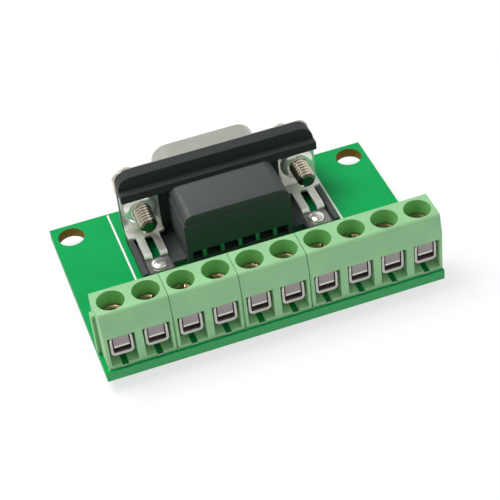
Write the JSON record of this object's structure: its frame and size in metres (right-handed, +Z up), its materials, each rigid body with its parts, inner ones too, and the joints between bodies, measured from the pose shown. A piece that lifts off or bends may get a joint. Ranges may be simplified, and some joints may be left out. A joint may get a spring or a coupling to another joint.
{
  "type": "connector breakout adapter",
  "caption": "Green circuit board with a right-angle D-shaped socket on one edge and a row of rising-clamp screw terminals along the other.",
  "frame": {"origin": "midway between the two mounting holes, on the underside of the board", "axes": "+X along the terminal row, from the first terminal to the last, +Y towards the socket's mating side, +Z up from the board"},
  "size_m": [0.0514, 0.0336, 0.016],
  "materials": {
    "board_green": "glossy solder mask over woven laminate",
    "terminal_green": "satin moulded plastic",
    "clamp_steel": "zinc plated",
    "screw_brass": "passivated",
    "contact_tin": "tin plated",
    "shell_tin": "tin plated, satin",
    "black_plastic": "satin moulded plastic",
    "contact_gold": "gold flash",
    "sheet_tin": "bright tin",
    "jack_brass": "nickel plated brass"
  },
  "bodies": {
    "adapter": {"board_lock_left": "sheet_tin", "board_lock_right": "sheet_tin", "circuit_board": "board_green", "connector_body": "black_plastic", "connector_shell": "shell_tin", "contact_insulator": "black_plastic", "ground_bracket_left": "sheet_tin", "ground_bracket_right": "sheet_tin", "jackscrew_left": "jack_brass", "jackscrew_right": "jack_brass", "socket_contact_1": "contact_gold", "socket_contact_2": "contact_gold", "socket_contact_3": "contact_gold", "socket_contact_4": "contact_gold", "socket_contact_5": "contact_gold", "socket_contact_6": "contact_gold", "socket_contact_7": "contact_gold", "socket_contact_8": "contact_gold", "socket_contact_9": "contact_gold", "tail_guide": "black_plastic", "terminal_contact_01": "contact_tin", "terminal_contact_02": "contact_tin", "terminal_contact_03": "contact_tin", "terminal_contact_04": "contact_tin", "terminal_contact_05": "contact_tin", "terminal_contact_06": "contact_tin", "terminal_contact_07": "contact_tin", "terminal_contact_08": "contact_tin", "terminal_contact_09": "contact_tin", "terminal_contact_10": "contact_tin", "terminal_housing_1": "terminal_green", "terminal_housing_2": "terminal_green", "terminal_housing_3": "terminal_green", "terminal_housing_4": "terminal_green"},
    "screw_01": {"clamp_screw_01": "screw_brass"},
    "clamp_01": {"wire_clamp_01": "clamp_steel"},
    "screw_02": {"clamp_screw_02": "screw_brass"},
    "clamp_02": {"wire_clamp_02": "clamp_steel"},
    "screw_03": {"clamp_screw_03": "screw_brass"},
    "clamp_03": {"wire_clamp_03": "clamp_steel"},
    "screw_04": {"clamp_screw_04": "screw_brass"},
    "clamp_04": {"wire_clamp_04": "clamp_steel"},
    "screw_05": {"clamp_screw_05": "screw_brass"},
    "clamp_05": {"wire_clamp_05": "clamp_steel"},
    "screw_06": {"clamp_screw_06": "screw_brass"},
    "clamp_06": {"wire_clamp_06": "clamp_steel"},
    "screw_07": {"clamp_screw_07": "screw_brass"},
    "clamp_07": {"wire_clamp_07": "clamp_steel"},
    "screw_08": {"clamp_screw_08": "screw_brass"},
    "clamp_08": {"wire_clamp_08": "clamp_steel"},
    "screw_09": {"clamp_screw_09": "screw_brass"},
    "clamp_09": {"wire_clamp_09": "clamp_steel"},
    "screw_10": {"clamp_screw_10": "screw_brass"},
    "clamp_10": {"wire_clamp_10": "clamp_steel"}
  },
  "joints": [
    {"name": "clamp_01_lift", "type": "slide", "parent": "adapter", "child": "clamp_01", "axis": [0, 0, 1], "range_m": [-0.0008, 0.00055]},
    {"name": "screw_01_turn", "type": "hinge", "parent": "adapter", "child": "screw_01", "pos_m": [-0.02261, -0.02701, 0.008], "axis": [0, 0, -1], "range_deg": [-641, 441]},
    {"name": "clamp_02_lift", "type": "slide", "parent": "adapter", "child": "clamp_02", "axis": [0, 0, 1], "range_m": [-0.0008, 0.00055]},
    {"name": "screw_02_turn", "type": "hinge", "parent": "adapter", "child": "screw_02", "pos_m": [-0.01753, -0.02701, 0.008], "axis": [0, 0, -1], "range_deg": [-641, 441]},
    {"name": "clamp_03_lift", "type": "slide", "parent": "adapter", "child": "clamp_03", "axis": [0, 0, 1], "range_m": [-0.0008, 0.00055]},
    {"name": "screw_03_turn", "type": "hinge", "parent": "adapter", "child": "screw_03", "pos_m": [-0.01245, -0.02701, 0.008], "axis": [0, 0, -1], "range_deg": [-641, 441]},
    {"name": "clamp_04_lift", "type": "slide", "parent": "adapter", "child": "clamp_04", "axis": [0, 0, 1], "range_m": [-0.0008, 0.00055]},
    {"name": "screw_04_turn", "type": "hinge", "parent": "adapter", "child": "screw_04", "pos_m": [-0.00737, -0.02701, 0.008], "axis": [0, 0, -1], "range_deg": [-641, 441]},
    {"name": "clamp_05_lift", "type": "slide", "parent": "adapter", "child": "clamp_05", "axis": [0, 0, 1], "range_m": [-0.0008, 0.00055]},
    {"name": "screw_05_turn", "type": "hinge", "parent": "adapter", "child": "screw_05", "pos_m": [-0.00229, -0.02701, 0.008], "axis": [0, 0, -1], "range_deg": [-641, 441]},
    {"name": "clamp_06_lift", "type": "slide", "parent": "adapter", "child": "clamp_06", "axis": [0, 0, 1], "range_m": [-0.0008, 0.00055]},
    {"name": "screw_06_turn", "type": "hinge", "parent": "adapter", "child": "screw_06", "pos_m": [0.00279, -0.02701, 0.008], "axis": [0, 0, -1], "range_deg": [-641, 441]},
    {"name": "clamp_07_lift", "type": "slide", "parent": "adapter", "child": "clamp_07", "axis": [0, 0, 1], "range_m": [-0.0008, 0.00055]},
    {"name": "screw_07_turn", "type": "hinge", "parent": "adapter", "child": "screw_07", "pos_m": [0.00787, -0.02701, 0.008], "axis": [0, 0, -1], "range_deg": [-641, 441]},
    {"name": "clamp_08_lift", "type": "slide", "parent": "adapter", "child": "clamp_08", "axis": [0, 0, 1], "range_m": [-0.0008, 0.00055]},
    {"name": "screw_08_turn", "type": "hinge", "parent": "adapter", "child": "screw_08", "pos_m": [0.01295, -0.02701, 0.008], "axis": [0, 0, -1], "range_deg": [-641, 441]},
    {"name": "clamp_09_lift", "type": "slide", "parent": "adapter", "child": "clamp_09", "axis": [0, 0, 1], "range_m": [-0.0008, 0.00055]},
    {"name": "screw_09_turn", "type": "hinge", "parent": "adapter", "child": "screw_09", "pos_m": [0.01803, -0.02701, 0.008], "axis": [0, 0, -1], "range_deg": [-641, 441]},
    {"name": "clamp_10_lift", "type": "slide", "parent": "adapter", "child": "clamp_10", "axis": [0, 0, 1], "range_m": [-0.0008, 0.00055]},
    {"name": "screw_10_turn", "type": "hinge", "parent": "adapter", "child": "screw_10", "pos_m": [0.02311, -0.02701, 0.008], "axis": [0, 0, -1], "range_deg": [-641, 441]}
  ],
  "couplings": [
    {"joint": "screw_01_turn", "follows": "clamp_01_lift", "rad_per_m": 13963},
    {"joint": "screw_02_turn", "follows": "clamp_02_lift", "rad_per_m": 13963},
    {"joint": "screw_03_turn", "follows": "clamp_03_lift", "rad_per_m": 13963},
    {"joint": "screw_04_turn", "follows": "clamp_04_lift", "rad_per_m": 13963},
    {"joint": "screw_05_turn", "follows": "clamp_05_lift", "rad_per_m": 13963},
    {"joint": "screw_06_turn", "follows": "clamp_06_lift", "rad_per_m": 13963},
    {"joint": "screw_07_turn", "follows": "clamp_07_lift", "rad_per_m": 13963},
    {"joint": "screw_08_turn", "follows": "clamp_08_lift", "rad_per_m": 13963},
    {"joint": "screw_09_turn", "follows": "clamp_09_lift", "rad_per_m": 13963},
    {"joint": "screw_10_turn", "follows": "clamp_10_lift", "rad_per_m": 13963}
  ]
}
